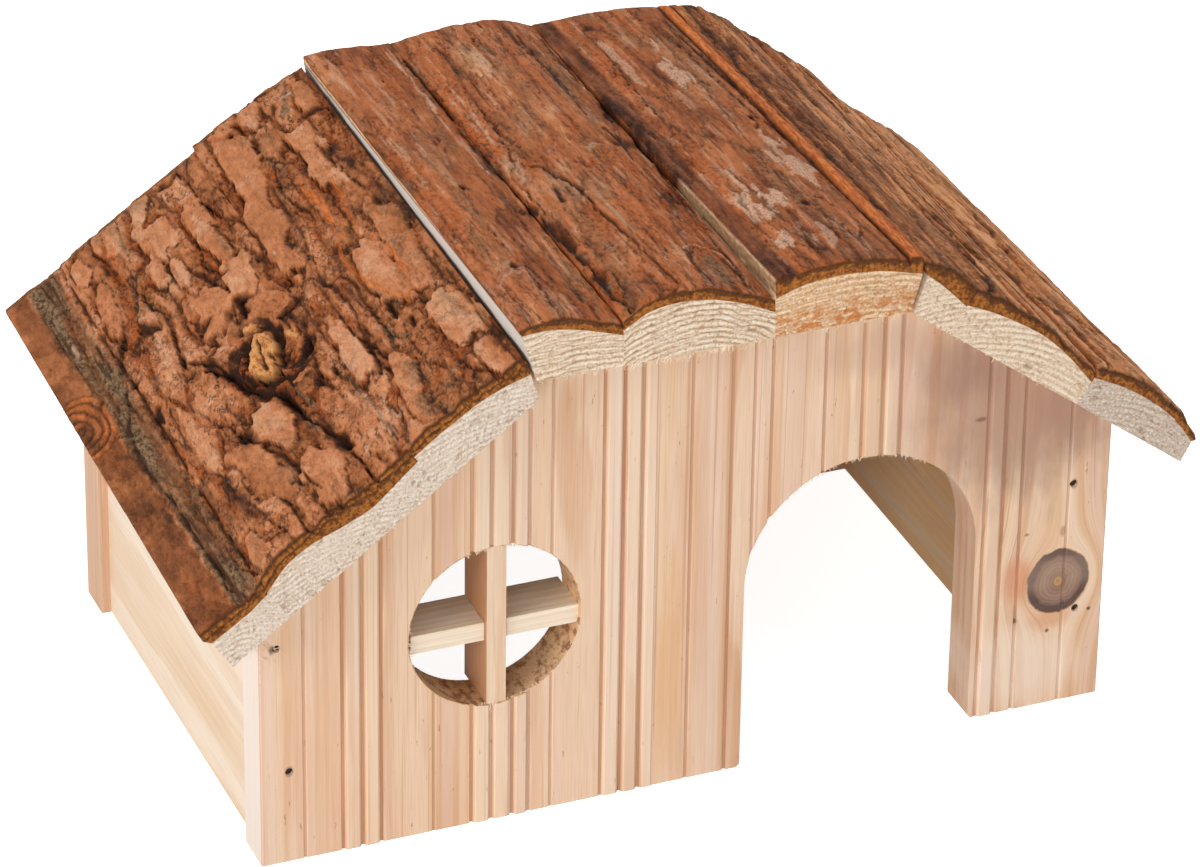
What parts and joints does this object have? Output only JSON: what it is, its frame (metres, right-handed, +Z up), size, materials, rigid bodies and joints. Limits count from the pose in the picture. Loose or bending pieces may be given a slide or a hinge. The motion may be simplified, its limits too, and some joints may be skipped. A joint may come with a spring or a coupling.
{
  "type": "hamster house",
  "caption": "Bottomless pine house for a small rodent, with an arched doorway, a round barred window and a bark-covered roof that slopes down from a flat top on both sides.",
  "frame": {"origin": "on the ground, under the centre of the bounding box, which is the roof's", "axes": "+X to the right seen from the front, +Y to the back, +Z up"},
  "size_m": [0.2602, 0.16, 0.1451],
  "materials": {
    "wall_pine": "planed, unfinished",
    "side_pine": "planed, unfinished",
    "bar_pine": "sawn, unfinished",
    "roof_wood": "sawn, unfinished",
    "left_bark": "natural bark",
    "top_bark": "natural bark",
    "right_bark": "natural bark",
    "brad_steel": "dull"
  },
  "bodies": {
    "root": {"front_panel": "wall_pine", "back_panel": "wall_pine", "left_side_panel": "side_pine", "right_side_panel": "side_pine", "window_bar_upright": "bar_pine", "window_bar_level": "bar_pine", "front_panel_brads": "brad_steel", "back_panel_brads": "brad_steel", "left_roof_brads": "brad_steel", "top_roof_brads": "brad_steel", "right_roof_brads": "brad_steel", "left_eave_slab": "roof_wood", "left_eave_bark": "left_bark", "left_middle_slab": "roof_wood", "left_middle_bark": "left_bark", "left_upper_slab": "roof_wood", "left_upper_bark": "left_bark", "top_left_slab": "roof_wood", "top_left_bark": "top_bark", "top_middle_slab": "roof_wood", "top_middle_bark": "top_bark", "top_right_slab": "roof_wood", "top_right_bark": "top_bark", "right_upper_slab": "roof_wood", "right_upper_bark": "right_bark", "right_middle_slab": "roof_wood", "right_middle_bark": "right_bark", "right_eave_slab": "roof_wood", "right_eave_bark": "right_bark"}
  },
  "joints": []
}
